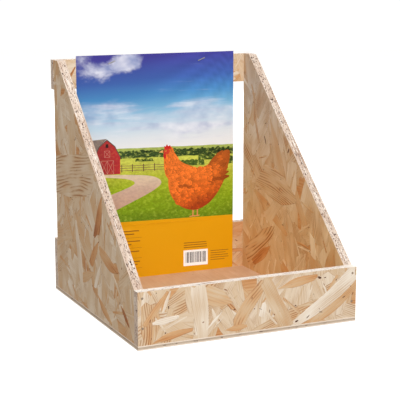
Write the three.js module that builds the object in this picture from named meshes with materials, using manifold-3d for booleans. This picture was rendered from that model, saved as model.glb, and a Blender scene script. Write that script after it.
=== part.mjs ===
// Nesting box for laying hens: OSB boards nailed together on a thin plywood floor, open at the front
// and the top, with an open window in the back and a printed card stapled to the upper back rail.
// Millimetres. +X is to the right, +Y to the back and +Z up. The origin is in the middle of the
// footprint, on the surface that the floor panel rests on.
import * as THREE from 'three';
import { mergeVertices } from 'three/addons/utils/BufferGeometryUtils.js';
import Module from 'manifold-3d';

// Driving dimensions of the box
const WIDTH = 300;
const DEPTH = 312;
const BOARD = 12;
const FLOOR_THICKNESS = 5.5;
const SIDE_HEIGHT = 316;
const SIDE_TOP_FLAT = 16;
const FRONT_HEIGHT = 66;
const LOWER_BACK_HEIGHT = 68;
const RAIL_HEIGHT = 40;

// The card stands on the floor and leans on the rail and the lower back board
const CARD_THICKNESS = 0.5;
const CARD_LEFT = -118;
const CARD_RIGHT = 121;
const CARD_ABOVE_RAIL = 4.5;

// Fasteners, and the free space round each where it passes through a board
const FIT_GAP = 0.3;
const HEAD_SINK = 0.25;
const NAIL = { length: 32, headRadius: 1.4, headDepth: 0.8, shankRadius: 0.7, tipLength: 2.5 };
const FLOOR_NAIL = { ...NAIL, length: 25 };
const STAPLE = { crown: 11, legLength: 8, wireThickness: 0.6, wireWidth: 1.2, tipLength: 1.4 };
const STAPLE_TILT = THREE.MathUtils.degToRad(21);

// Where the fasteners go
const FRONT_NAIL_BELOW_TOP = [8, 45];
const RAIL_NAIL_BELOW_TOP = [10, 30];
const LOWER_BACK_NAIL_BELOW_TOP = [15, 53];
const FLOOR_NAIL_SIDE_Y = [-100, 0, 100];
const FLOOR_NAIL_END_X = [-60, 60];
const STAPLE_X = [-66, 70];
const STAPLE_BELOW_CARD_TOP = 10;

// Places worked out from the driving dimensions
const HALF_WIDTH = WIDTH / 2;
const HALF_DEPTH = DEPTH / 2;
const SIDE_FRONT_Y = -HALF_DEPTH + BOARD;
const SIDE_BACK_Y = HALF_DEPTH - BOARD;
const SIDE_CENTRE_X = HALF_WIDTH - BOARD / 2;
const TOP_Z = FLOOR_THICKNESS + SIDE_HEIGHT;
const FRONT_TOP_Z = FLOOR_THICKNESS + FRONT_HEIGHT;
const LOWER_BACK_TOP_Z = FLOOR_THICKNESS + LOWER_BACK_HEIGHT;
const CARD_TOP_Z = TOP_Z + CARD_ABOVE_RAIL;
const CARD_FRONT_Y = SIDE_BACK_Y - CARD_THICKNESS;
const STAPLE_Z = CARD_TOP_Z - STAPLE_BELOW_CARD_TOP;

const NAIL_SIDES = 12;

const osb = new THREE.MeshStandardMaterial({ color: 0xcfae82, roughness: 0.8, metalness: 0 });
const plywood = new THREE.MeshStandardMaterial({ color: 0xd6ad84, roughness: 0.7, metalness: 0 });
const card = new THREE.MeshStandardMaterial({ color: 0x5a8fc8, roughness: 0.5, metalness: 0 });
const steel = new THREE.MeshStandardMaterial({ color: 0x8d8f92, roughness: 0.35, metalness: 1 });

const wasm = await Module();
wasm.setup();

// A closed three.js geometry as a manifold-3d solid
function toSolid(geometry) {
  const bare = geometry.clone();
  bare.deleteAttribute('normal');
  bare.deleteAttribute('uv');
  const merged = mergeVertices(bare);
  const vertProperties = new Float32Array(merged.attributes.position.array);
  const triVerts = new Uint32Array(merged.index.array);
  return new wasm.Manifold(new wasm.Mesh({ numProp: 3, vertProperties, triVerts }));
}

function toGeometry(solid) {
  const { vertProperties, triVerts } = solid.getMesh();
  const geometry = new THREE.BufferGeometry();
  geometry.setAttribute('position', new THREE.BufferAttribute(vertProperties, 3));
  geometry.setIndex(new THREE.BufferAttribute(triVerts, 1));
  geometry.computeVertexNormals();
  return geometry;
}

// A rectangular block between two corners
function block(low, high) {
  const size = high.map((value, axis) => value - low[axis]);
  const geometry = new THREE.BoxGeometry(...size);
  return geometry.translate(...low.map((value, axis) => value + size[axis] / 2));
}

// A side panel: its outline in the Y-Z plane, from the inner face outwards by one board's thickness
function sidePanel(innerX) {
  const outline = new THREE.Shape();
  outline.moveTo(SIDE_FRONT_Y, FLOOR_THICKNESS);
  outline.lineTo(SIDE_BACK_Y, FLOOR_THICKNESS);
  outline.lineTo(SIDE_BACK_Y, TOP_Z);
  outline.lineTo(SIDE_BACK_Y - SIDE_TOP_FLAT, TOP_Z);
  outline.lineTo(SIDE_FRONT_Y, FRONT_TOP_Z);
  outline.closePath();
  const geometry = new THREE.ExtrudeGeometry(outline, { depth: BOARD, bevelEnabled: false });
  // The outline's x, y and depth become +Y, +Z and +X
  geometry.applyMatrix4(new THREE.Matrix4().set(0, 0, 1, innerX, 1, 0, 0, 0, 0, 1, 0, 0, 0, 0, 0, 1));
  return geometry;
}

// A nail along +Y, with the top of its head at the origin
function nailGeometry(nail) {
  const tipStart = nail.length - nail.tipLength;
  const profile = [
    [0, 0],
    [nail.headRadius, 0],
    [nail.headRadius, nail.headDepth],
    [nail.shankRadius, nail.headDepth],
    [nail.shankRadius, tipStart],
    [0, nail.length],
  ];
  return new THREE.LatheGeometry(profile.map(([r, y]) => new THREE.Vector2(r, y)), NAIL_SIDES);
}

// The hole that a nail sits in: a shank hole and a counterbore, both open at the board's face
function nailHole(nail) {
  const cylinder = (radius, from, to) => {
    const geometry = new THREE.CylinderGeometry(radius, radius, to - from, NAIL_SIDES);
    return toSolid(geometry.translate(0, (from + to) / 2, 0));
  };
  const mouth = -2 * HEAD_SINK;
  const shank = cylinder(nail.shankRadius + FIT_GAP, mouth, nail.length + FIT_GAP);
  return shank.add(cylinder(nail.headRadius + FIT_GAP, mouth, nail.headDepth + FIT_GAP));
}

// A staple with its crown along X on the plane y = 0 and its legs along +Y
function stapleGeometry(staple) {
  const { crown, legLength, wireThickness, wireWidth, tipLength } = staple;
  const outer = crown / 2;
  const inner = outer - wireThickness;
  const outline = new THREE.Shape();
  outline.moveTo(-outer, -wireThickness);
  outline.lineTo(outer, -wireThickness);
  outline.lineTo(outer, legLength - tipLength);
  outline.lineTo(inner, legLength);
  outline.lineTo(inner, 0);
  outline.lineTo(-inner, 0);
  outline.lineTo(-inner, legLength);
  outline.lineTo(-outer, legLength - tipLength);
  outline.closePath();
  const geometry = new THREE.ExtrudeGeometry(outline, { depth: wireWidth, bevelEnabled: false });
  return geometry.translate(0, 0, -wireWidth / 2);
}

// The two slots that a staple's legs sit in
function stapleSlots(staple) {
  const { crown, legLength, wireThickness, wireWidth } = staple;
  const legCentre = (crown - wireThickness) / 2;
  const halfSlot = wireThickness / 2 + FIT_GAP;
  const halfWidth = wireWidth / 2 + FIT_GAP;
  const slot = (x) => toSolid(block(
    [x - halfSlot, -wireThickness, -halfWidth],
    [x + halfSlot, legLength + FIT_GAP, halfWidth],
  ));
  return slot(-legCentre).add(slot(legCentre));
}

// Every fastener: its name, kind, place, the way it points, and the nodes whose holes it sits in
const alongY = new THREE.Matrix4();
const againstY = new THREE.Matrix4().makeRotationZ(Math.PI);
const alongZ = new THREE.Matrix4().makeRotationX(Math.PI / 2);
const tilted = new THREE.Matrix4().makeRotationY(-STAPLE_TILT);
const fasteners = [];

for (const [side, sign] of [['left', -1], ['right', 1]]) {
  const panel = `${side}_side_panel`;
  const x = sign * SIDE_CENTRE_X;
  const level = ['upper', 'lower'];
  FRONT_NAIL_BELOW_TOP.forEach((drop, i) => fasteners.push({
    name: `front_nail_${side}_${level[i]}`,
    nail: NAIL,
    turn: alongY,
    place: [x, -HALF_DEPTH + HEAD_SINK, FRONT_TOP_Z - drop],
    through: ['front_board', panel],
  }));
  RAIL_NAIL_BELOW_TOP.forEach((drop, i) => fasteners.push({
    name: `rail_nail_${side}_${level[i]}`,
    nail: NAIL,
    turn: againstY,
    place: [x, HALF_DEPTH - HEAD_SINK, TOP_Z - drop],
    through: ['upper_back_rail', panel],
  }));
  LOWER_BACK_NAIL_BELOW_TOP.forEach((drop, i) => fasteners.push({
    name: `lower_back_nail_${side}_${level[i]}`,
    nail: NAIL,
    turn: againstY,
    place: [x, HALF_DEPTH - HEAD_SINK, LOWER_BACK_TOP_Z - drop],
    through: ['lower_back_board', panel],
  }));
  FLOOR_NAIL_SIDE_Y.forEach((y, i) => fasteners.push({
    name: `floor_nail_${side}_${i + 1}`,
    nail: FLOOR_NAIL,
    turn: alongZ,
    place: [x, y, HEAD_SINK],
    through: ['floor_panel', panel],
  }));
}
for (const [end, board, y] of [
  ['front', 'front_board', -HALF_DEPTH + BOARD / 2],
  ['back', 'lower_back_board', HALF_DEPTH - BOARD / 2],
]) {
  FLOOR_NAIL_END_X.forEach((x, i) => fasteners.push({
    name: `floor_nail_${end}_${i + 1}`,
    nail: FLOOR_NAIL,
    turn: alongZ,
    place: [x, y, HEAD_SINK],
    through: ['floor_panel', board],
  }));
}
['left', 'right'].forEach((side, i) => fasteners.push({
  name: `card_staple_${side}`,
  staple: STAPLE,
  turn: tilted,
  place: [STAPLE_X[i], CARD_FRONT_Y, STAPLE_Z],
  through: ['printed_card', 'upper_back_rail'],
}));

const boards = {
  left_side_panel: [osb, sidePanel(-HALF_WIDTH)],
  right_side_panel: [osb, sidePanel(HALF_WIDTH - BOARD)],
  front_board: [osb, block(
    [-HALF_WIDTH, -HALF_DEPTH, FLOOR_THICKNESS],
    [HALF_WIDTH, SIDE_FRONT_Y, FRONT_TOP_Z],
  )],
  upper_back_rail: [osb, block(
    [-HALF_WIDTH, SIDE_BACK_Y, TOP_Z - RAIL_HEIGHT],
    [HALF_WIDTH, HALF_DEPTH, TOP_Z],
  )],
  lower_back_board: [osb, block(
    [-HALF_WIDTH, SIDE_BACK_Y, FLOOR_THICKNESS],
    [HALF_WIDTH, HALF_DEPTH, LOWER_BACK_TOP_Z],
  )],
  floor_panel: [plywood, block(
    [-HALF_WIDTH, -HALF_DEPTH, 0],
    [HALF_WIDTH, HALF_DEPTH, FLOOR_THICKNESS],
  )],
  printed_card: [card, block(
    [CARD_LEFT, CARD_FRONT_Y, FLOOR_THICKNESS],
    [CARD_RIGHT, SIDE_BACK_Y, CARD_TOP_Z],
  )],
};

const nestingBox = new THREE.Group();
nestingBox.name = 'nesting_box';

function addMesh(parent, name, geometry, material) {
  const mesh = new THREE.Mesh(geometry, material);
  mesh.name = name;
  parent.add(mesh);
  return mesh;
}

// The boards and the card, with a hole for each fastener that passes through them
for (const [name, [material, geometry]] of Object.entries(boards)) {
  const holes = fasteners.filter(({ through }) => through.includes(name));
  let solid = toSolid(geometry);
  for (const { nail, staple, turn, place } of holes) {
    const hole = nail ? nailHole(nail) : stapleSlots(staple);
    const matrix = new THREE.Matrix4().makeTranslation(...place).multiply(turn);
    solid = solid.subtract(hole.transform(matrix.toArray()));
  }
  addMesh(nestingBox, name, toGeometry(solid), material);
}

for (const { name, nail, staple, turn, place } of fasteners) {
  const geometry = nail ? nailGeometry(nail) : stapleGeometry(staple);
  const mesh = addMesh(nestingBox, name, geometry, steel);
  mesh.position.set(...place);
  mesh.quaternion.setFromRotationMatrix(turn);
}

export default nestingBox;
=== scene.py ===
"""Looks of the nesting box: oriented strand board, a plywood floor, a printed card, nails and staples.

Each board is a surface cut up by overlapping closed outlines, as real strand board is laid from
overlapping strands, and the card's picture is cut up in the same way, so that shapes, relief and
print all come from geometry. Sizes inside the builders are in millimetres; meshes are in metres.
"""
import math
import random
from types import SimpleNamespace

import bpy
import numpy as np
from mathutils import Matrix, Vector
from mathutils.geometry import convex_hull_2d, delaunay_2d_cdt


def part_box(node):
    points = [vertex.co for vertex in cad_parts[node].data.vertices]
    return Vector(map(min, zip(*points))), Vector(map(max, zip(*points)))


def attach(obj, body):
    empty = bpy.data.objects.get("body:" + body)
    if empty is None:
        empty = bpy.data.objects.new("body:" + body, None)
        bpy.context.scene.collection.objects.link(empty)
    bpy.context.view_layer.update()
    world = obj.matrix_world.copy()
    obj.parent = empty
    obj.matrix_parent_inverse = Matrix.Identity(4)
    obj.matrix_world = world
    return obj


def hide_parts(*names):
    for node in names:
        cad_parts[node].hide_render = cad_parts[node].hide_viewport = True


MM = 0.001
SNAP = 1e-4

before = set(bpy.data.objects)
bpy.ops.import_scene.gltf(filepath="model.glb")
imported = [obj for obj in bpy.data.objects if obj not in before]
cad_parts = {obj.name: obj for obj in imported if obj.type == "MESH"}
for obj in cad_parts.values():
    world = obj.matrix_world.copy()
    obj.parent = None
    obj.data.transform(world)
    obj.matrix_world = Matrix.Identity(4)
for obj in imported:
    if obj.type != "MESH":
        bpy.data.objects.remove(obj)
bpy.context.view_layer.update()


def srgb(red, green, blue):
    """A colour of 0 to 255 values as the linear numbers that shaders use."""
    def linear(value):
        value /= 255
        return value / 12.92 if value <= 0.04045 else ((value + 0.055) / 1.055) ** 2.4
    return (linear(red), linear(green), linear(blue), 1.0)


# ---------------------------------------------------------------- node graphs

class Graph:
    """A material and short calls for the nodes it is made of."""

    def __init__(self, name):
        self.material = bpy.data.materials.new(name)
        self.material.use_nodes = True
        self.tree = self.material.node_tree
        self.tree.nodes.clear()
        self.shader = self.add("ShaderNodeBsdfPrincipled")
        output = self.add("ShaderNodeOutputMaterial")
        self.tree.links.new(self.shader.outputs[0], output.inputs["Surface"])

    def surface(self, **values):
        """Feeds the shader's inputs, whose names are written with _ for each space."""
        for name, value in values.items():
            self.feed(self.shader.inputs[name.replace("_", " ")], value)

    def add(self, kind, **settings):
        node = self.tree.nodes.new(kind)
        for name, value in settings.items():
            setattr(node, name, value)
        return node

    def feed(self, socket, value):
        """Sets a socket to a number or colour, or links it to another node's output."""
        if isinstance(value, bpy.types.NodeSocket):
            self.tree.links.new(value, socket)
        else:
            socket.default_value = value

    def output(self, kind, inputs, which=0, **settings):
        """One of a new node's outputs, after values or other outputs are fed to the inputs."""
        node = self.add(kind, **settings)
        for socket, value in inputs.items():
            self.feed(node.inputs[socket], value)
        return node.outputs[which]

    def math(self, operation, first, second=0.0, third=0.0):
        return self.output("ShaderNodeMath", {0: first, 1: second, 2: third}, operation=operation)

    def times(self, first, second):
        return self.math("MULTIPLY", first, second)

    def centred(self, value, amount, base=0.0):
        """A noise value moved to lie round zero, times an amount, plus a base."""
        return self.math("MULTIPLY_ADD", self.math("SUBTRACT", value, 0.5), amount, base)

    def between(self, value, low, high):
        """0 below low, 1 above high and a smooth step in between."""
        inputs = {"Value": value, "From Min": low, "From Max": high}
        return self.output("ShaderNodeMapRange", inputs, "Result", interpolation_type="SMOOTHSTEP")

    def split(self, vector):
        node = self.add("ShaderNodeSeparateXYZ")
        self.feed(node.inputs[0], vector)
        return node.outputs

    def join(self, x, y, z):
        return self.output("ShaderNodeCombineXYZ", {0: x, 1: y, 2: z})

    def stretch(self, vector, scale):
        return self.output("ShaderNodeVectorMath", {0: vector, 1: scale}, operation="MULTIPLY")

    def noise(self, vector, scale=1.0, detail=2.0, roughness=0.5, distortion=0.0):
        return self.output("ShaderNodeTexNoise", {
            "Vector": vector, "Scale": scale, "Detail": detail, "Roughness": roughness,
            "Distortion": distortion}, "Fac")

    def ramp(self, value, stops):
        """A colour ramp through stops, each a place and a colour's red, green and blue."""
        node = self.add("ShaderNodeValToRGB")
        elements = node.color_ramp.elements
        while len(elements) < len(stops):
            elements.new(0.5)
        for element, (place, *colour) in zip(elements, stops):
            element.position = place
            element.color = srgb(*colour)
        self.feed(node.inputs[0], value)
        return node.outputs[0]

    def mix(self, share, first, second, blend="MIX"):
        inputs = {0: share, 6: first, 7: second}
        return self.output("ShaderNodeMix", inputs, 2, data_type="RGBA", blend_type=blend)

    def attribute(self, name):
        return self.output("ShaderNodeAttribute", {}, "Vector", attribute_name=name)

    def position(self):
        return self.output("ShaderNodeTexCoord", {}, "Object")

    def bump(self, height, distance, strength):
        inputs = {"Strength": strength, "Distance": distance, "Height": height}
        self.surface(Normal=self.output("ShaderNodeBump", inputs))


# ---------------------------------------------------------------- materials

# Wood tones from pale to dark, each a place on the scale and its colour
STRAND_TONES = (
    (0.00, 228, 216, 200), (0.25, 214, 194, 169), (0.48, 205, 178, 145),
    (0.68, 202, 160, 116), (0.86, 194, 138, 88), (1.00, 158, 100, 60))
CUT_TONES = ((0.00, 230, 224, 216), (0.50, 218, 206, 194), (0.80, 194, 173, 156), (1.00, 156, 126, 108))
VENEER_TONES = ((0.00, 218, 190, 162), (0.50, 202, 164, 130), (1.00, 182, 138, 102))
PLY_TONES = ((0.00, 226, 212, 196), (0.50, 198, 178, 158), (1.00, 162, 142, 122))
LINE = srgb(190, 142, 96)
CORE_LINE = srgb(205, 165, 135)
# Dark colour of specks, bark, pits and knots, also used for the painted shade in the sunken voids and gaps
# of cut edges
HOLE = srgb(96, 66, 50)
CUT_HOLE = srgb(96, 74, 68)
STRAND_EDGE = srgb(168, 128, 94)
# The tint of painted warm bounce light from the orange card and the floor
PAINTED_BOUNCE_TINT = (1.18, 0.98, 0.60, 1.0)


def wood_material(name, tones, line_colour, hole_colour, line_strength, roughness, painted_bounce=0.0):
    """Wood whose mesh says, strand by strand, its tone, ring spacing, figure and the way its grain runs.

    Above 0, the last argument turns its colour yellower towards the foot of the board: painted warm bounce
    light from the orange card and the floor.
    """
    g = Graph(name)
    u, v, seed = g.split(g.attribute("grain"))
    tone, spacing, contrast = g.split(g.attribute("flake"))
    rim, hole, curve = g.split(g.attribute("relief"))
    along = g.join(u, v, g.times(seed, 97.0))
    # Growth rings: waves across the strand, bent into arches by the curve and by slow noise
    arch = g.times(g.times(u, u), curve)
    drift = g.noise(g.stretch(along, (0.011, 0.035, 1.0)), detail=1.0)
    sway = g.math("MULTIPLY_ADD", drift, 14.0, arch)
    phase = g.math("DIVIDE", g.math("ADD", v, sway), spacing)
    ring = g.math("FRACT", phase)
    falling = g.between(g.math("SUBTRACT", 1.0, ring), 0.0, 0.16)
    line = g.times(g.between(ring, 0.35, 0.88), falling)
    faded = g.between(g.noise(g.stretch(along, (0.02, 0.06, 1.0)), detail=2.0), 0.38, 0.62)
    line = g.times(line, faded)
    # Streaks and fibres run along the grain
    streak = g.noise(g.stretch(along, (0.018, 0.36, 1.0)), detail=4.0, roughness=0.66)
    fibre = g.noise(g.stretch(along, (0.07, 1.5, 1.0)), detail=2.0, roughness=0.6)
    patch = g.noise(g.stretch(along, (0.025, 0.05, 1.0)), detail=1.0)
    shade = g.centred(fibre, 0.25, g.centred(streak, 0.52, g.centred(patch, 0.55, tone)))
    colour = g.ramp(shade, tones)
    strength = g.times(g.times(line, contrast), line_strength)
    colour = g.mix(strength, colour, line_colour, "MULTIPLY")
    # A thin shadow line round each strand, broken up so that only parts of it show
    broken = g.between(g.noise(g.position(), scale=95.0, detail=1.0), 0.45, 0.62)
    edge = g.times(g.math("SUBTRACT", 1.0, rim), broken)
    colour = g.mix(g.times(edge, 0.8), colour, STRAND_EDGE, "MULTIPLY")
    # Pin-sized specks of bark and resin
    fleck = g.noise(g.stretch(along, (0.2, 0.7, 1.0)), detail=1.0, roughness=0.4)
    colour = g.mix(g.times(g.between(fleck, 0.71, 0.82), 0.5), colour, hole_colour)
    # The mesh's hole value: darker bark shreds, pits, knots and nail holes, and painted shade in the sunken
    # voids and gaps of cut edges, darker the deeper they lie
    colour = g.mix(hole, colour, hole_colour)
    # Painted warm bounce light: yellower towards the foot of the board
    if painted_bounce:
        foot = g.math("SUBTRACT", 1.0, g.between(g.split(g.position())[2], 0.07, 0.27))
        colour = g.mix(g.times(foot, painted_bounce), colour, PAINTED_BOUNCE_TINT, "MULTIPLY")
    rough = g.math("MULTIPLY_ADD", fibre, 0.2, roughness - 0.1)
    g.surface(Base_Color=colour, Roughness=rough, Specular_IOR_Level=0.3)
    height = g.math("MULTIPLY_ADD", line, -0.35, g.math("MULTIPLY_ADD", streak, 0.5, fibre))
    g.bump(height, 0.00016, 0.6)
    return g.material


osb_face = wood_material("osb_face", STRAND_TONES, LINE, HOLE, 0.9, 0.72)
# The same strand board with painted warm bounce light towards its foot
osb_painted_bounce = wood_material("osb_painted_bounce", STRAND_TONES, LINE, HOLE, 0.9, 0.72, painted_bounce=0.74)
osb_cut = wood_material("osb_cut", CUT_TONES, CORE_LINE, CUT_HOLE, 0.4, 0.85)
veneer_face = wood_material("plywood_face", VENEER_TONES, CORE_LINE, HOLE, 0.5, 0.6)
veneer_cut = wood_material("plywood_cut", PLY_TONES, LINE, CUT_HOLE, 0.4, 0.85)


def print_material():
    """Ink on coated card: the mesh holds the ink's colour, and how much cloud, leaf or feather it shows."""
    g = Graph("card_print")
    cloudy, leafy, feathery = g.split(g.attribute("texture"))
    place = g.position()
    # Clouds: noise that whitens the sky, heaped where the mesh says above 0 and in streaks below 0
    heap = g.noise(g.stretch(place, (19.0, 19.0, 34.0)), detail=5.0, roughness=0.58, distortion=0.3)
    body = g.math("MULTIPLY_ADD", cloudy, 0.5, heap)
    wisp = g.noise(g.stretch(place, (7.0, 7.0, 62.0)), detail=4.0, roughness=0.62, distortion=0.5)
    thin = g.math("MULTIPLY_ADD", cloudy, -0.5, wisp)
    cover = g.math("MAXIMUM", g.between(body, 0.72, 0.98), g.times(g.between(thin, 0.66, 1.0), 0.8))
    light = g.ramp(g.noise(g.stretch(place, (40.0, 40.0, 60.0)), detail=2.0), (
        (0.30, 150, 162, 200), (0.66, 232, 234, 244)))
    colour = g.mix(g.times(cover, 0.85), g.attribute("ink"), light)
    # Leaves and grass: light and dark clumps at two sizes
    clump = g.noise(g.stretch(place, (190.0, 190.0, 300.0)), detail=3.0, roughness=0.7)
    drift = g.noise(g.stretch(place, (28.0, 28.0, 80.0)), detail=2.0)
    sunny = g.times(g.between(clump, 0.50, 0.68), g.times(leafy, 0.55))
    colour = g.mix(sunny, colour, srgb(178, 184, 84))
    leaf = g.centred(drift, 1.5, g.centred(clump, 3.2, 1.0))
    weight = g.math("MULTIPLY_ADD", g.math("SUBTRACT", leaf, 1.0), leafy, 1.0)
    # Feathers: short fine barbs
    barb = g.noise(g.stretch(place, (420.0, 420.0, 900.0)), detail=2.0)
    weight = g.times(weight, g.math("MULTIPLY_ADD", g.centred(barb, 1.6), feathery, 1.0))
    colour = g.mix(1.0, colour, g.join(weight, weight, weight), "MULTIPLY")
    sheen = g.noise(place, scale=60.0, detail=2.0)
    g.surface(Base_Color=colour, Roughness=g.centred(sheen, 0.12, 0.38), Specular_IOR_Level=0.25)
    g.bump(sheen, 0.0002, 0.2)
    return g.material


def plain_card_material():
    """The card's uncoated grey-white back and its cut edge, with short pulp fibres."""
    g = Graph("card_back")
    pulp = g.noise(g.stretch(g.position(), (900.0, 900.0, 380.0)), detail=3.0, roughness=0.6)
    grey = g.ramp(pulp, ((0.25, 196, 190, 180), (0.55, 222, 218, 210), (0.80, 232, 229, 224)))
    g.surface(Base_Color=grey, Roughness=0.9)
    g.bump(pulp, 0.0001, 0.4)
    return g.material


def steel_material(name, dark, pale, roughness, metallic):
    """Drawn steel wire: fine die marks and dull patches."""
    g = Graph(name)
    place = g.position()
    patch = g.noise(place, scale=900.0, detail=3.0, roughness=0.6)
    marks = g.noise(g.stretch(place, (3200.0, 500.0, 3200.0)), detail=1.0)
    both = g.math("MULTIPLY_ADD", marks, 0.35, g.times(patch, 0.65))
    steel = g.ramp(both, ((0.30, *dark), (0.70, *pale)))
    g.surface(Base_Color=steel, Roughness=g.centred(patch, 0.35, roughness), Metallic=metallic)
    g.bump(both, 0.00005, 0.4)
    return g.material


card_print = print_material()
card_back = plain_card_material()
nail_steel = steel_material("nail_steel", (124, 106, 90), (178, 158, 136), 0.6, 0.4)
staple_steel = steel_material("staple_steel", (176, 176, 176), (228, 228, 226), 0.32, 1.0)


# ---------------------------------------------------------------- flat faces cut up by outlines

def turned(points, centre, angle):
    """Points moved from a strand's own frame, with the grain along its first axis, to the face's."""
    c, s = math.cos(angle), math.sin(angle)
    return points @ np.array(((c, s), (-s, c))) + centre


def anticlockwise(outline):
    following = np.roll(outline, -1, 0)
    area = (outline[:, 0] * following[:, 1] - following[:, 0] * outline[:, 1]).sum()
    return outline if area > 0 else outline[::-1]


def inset(outline, distance):
    """The outline with each corner moved inwards, by about the distance."""
    before = outline - np.roll(outline, 1, 0)
    after = np.roll(outline, -1, 0) - outline
    normals = []
    for side in (before, after):
        length = np.maximum(np.linalg.norm(side, axis=1, keepdims=True), 1e-9)
        normals.append(np.stack((-side[:, 1], side[:, 0]), 1) / length)
    middle = normals[0] + normals[1]
    middle /= np.maximum((middle ** 2).sum(1, keepdims=True) / 2, 0.6)
    return outline + middle * distance


def rectangle(left, low, right, high):
    return np.array(((left, low), (right, low), (right, high), (left, high)), float)


def oval(x, y, wide, high, turn=0.0, corners=14):
    turns = np.linspace(0, math.tau, corners, endpoint=False)
    ring = np.stack((np.cos(turns) * wide / 2, np.sin(turns) * high / 2), 1)
    return turned(ring, (x, y), turn)


def is_inside(points, outline):
    """For each point, whether it lies inside the outline, by the even-odd rule."""
    following = np.roll(outline, -1, 0)
    x0, y0 = outline.T
    x1, y1 = following.T
    x, y = points[:, :1], points[:, 1:]
    spans = (y0 > y) != (y1 > y)
    slope = (x1 - x0) / np.where(y1 == y0, 1e-12, y1 - y0)
    crossed = spans & (x < x0 + (y - y0) * slope)
    return crossed.sum(1) % 2 == 1


def edge_ramp(points, outline, bevel):
    """For each point, 0 on the outline and outside it, rising to 1 at the bevel's width inside it."""
    side = np.roll(outline, -1, 0) - outline
    away = points[:, None] - outline
    share = (away * side).sum(-1) / np.maximum((side ** 2).sum(-1), 1e-12)
    nearest = away - np.clip(share, 0, 1)[..., None] * side
    distance = np.sqrt((nearest ** 2).sum(-1).min(1))
    return np.where(is_inside(points, outline), np.minimum(distance / bevel, 1.0), 0.0)


def near_box(points, outline):
    """The numbers of the points that lie in the outline's bounding box."""
    low, high = outline.min(0), outline.max(0)
    x, y = points.T
    return ((x > low[0]) & (x < high[0]) & (y > low[1]) & (y < high[1])).nonzero()[0]


class CutUp:
    """A convex flat outline cut into triangles along the outlines of the layers that lie over it."""

    def __init__(self, outline, layers, grid=()):
        points = []
        edges = []

        def add_ring(ring):
            first = len(points)
            points.extend(Vector(p) for p in ring)
            last = len(points) - 1
            edges.extend((i, i + 1) for i in range(first, last))
            edges.append((last, first))

        add_ring(outline)
        for layer in layers:
            add_ring(layer.outline)
            if layer.bevel:
                add_ring(inset(layer.outline, layer.bevel))
        points.extend(Vector(p) for p in grid)
        verts, _, triangles, self.from_verts, _, _ = delaunay_2d_cdt(points, edges, [], 0, SNAP, True)
        self.points = np.array([tuple(v) for v in verts])
        self.layers = layers
        triangles = np.array(triangles)
        middles = self.points[triangles].mean(1)
        kept = is_inside(middles, outline)
        self.triangles = triangles[kept]
        middles = middles[kept]
        # The topmost layer over each triangle, or -1 for the bare face
        self.owner = np.full(len(middles), -1)
        self.ramps = np.ones((len(layers) + 1, len(self.points)))
        for number, layer in enumerate(layers):
            near = near_box(middles, layer.outline)
            self.owner[near[is_inside(middles[near], layer.outline)]] = number
            if layer.bevel:
                near = near_box(self.points, layer.outline)
                self.ramps[number] = 0
                self.ramps[number, near] = edge_ramp(self.points[near], layer.outline, layer.bevel)

    def border(self):
        """The numbers of the points on the border: the ends of the edges that only one triangle has."""
        edges = np.sort(self.triangles[:, [0, 1, 1, 2, 2, 0]].reshape(-1, 2), axis=1)
        edges, counts = np.unique(edges, axis=0, return_counts=True)
        return np.unique(edges[counts == 1])

    def heights(self):
        """The height at each point: the highest layer there, less the deepest hole."""
        top = np.zeros(len(self.points))
        sunk = np.zeros(len(self.points))
        for ramp, layer in zip(self.ramps, self.layers):
            if layer.height >= 0:
                top = np.maximum(top, ramp * layer.height)
            else:
                sunk = np.minimum(sunk, ramp * layer.height)
        return top + sunk

    def owners(self, name, missing):
        """What each triangle's owner says under a name, for each of the triangle's corners."""
        table = np.array([getattr(layer, name) for layer in self.layers] + [missing], float)
        found = table[self.owner]
        return np.broadcast_to(found[:, None], (len(found), 3) + found.shape[1:])

    def corner_values(self):
        """For each triangle's corners: its place along the grain, its strand's look, and its relief."""
        away = self.points[self.triangles] - self.owners("centre", (0.0, 0.0))
        angle = self.owners("angle", 0.0)
        c, s = np.cos(angle), np.sin(angle)
        u = away[..., 0] * c + away[..., 1] * s
        v = away[..., 1] * c - away[..., 0] * s
        rim = self.ramps[self.owner[:, None], self.triangles]
        return {
            "grain": np.stack((u, v, self.owners("seed", 0.5)), -1),
            "flake": self.owners("look", (0.75, 4.0, 0.3)),
            "relief": np.stack((rim, self.owners("hole", 0.0), self.owners("curve", 0.0)), -1),
        }


def layer(outline, centre, angle, rng, tone, spacing, contrast, curve=0.0, height=0.1, bevel=0.5, hole=0.0):
    return SimpleNamespace(
        outline=np.asarray(outline, float), centre=tuple(centre), angle=angle, seed=rng.random(),
        look=(tone, spacing, contrast), curve=curve, height=height, bevel=bevel, hole=hole,
    )


# ---------------------------------------------------------------- strands, slivers and voids

# The figure of a strand: its ring spacing, contrast and curve
FAINT = (3.0, 0.3, 0.0)
BOLD = (4.0, 0.9, 0.003)
FINE = (2.2, 0.5, 0.0)
# How far strands stand up from the face: the lowest, the rise to the last one laid, and the chosen ones
LOWEST, RISE, CHOSEN_HEIGHT = 0.05, 0.22, 0.30
NAIL_HOLE_RADIUS = 1.55
NAIL_HOLE_DEPTH = 0.7
# The tone round which a calm board's strands gather
MIDDLE_TONE = 0.3
# The first strands lie on a loose grid of this pitch. They are wider than those over them, and
# the splinters on top are the narrowest
PITCH = 34
LARGE, SMALL = 1.35, 0.16
# How many more strands and splinters there are for each strand on the grid
MORE, SPLINTERS = 0.75, 1.1
# The share of strands that lean the board's own way, and not just anyhow
ALONG = 0.82


def unit(value):
    """The value kept between 0 and 1."""
    return min(1.0, max(0.0, value))


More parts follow.
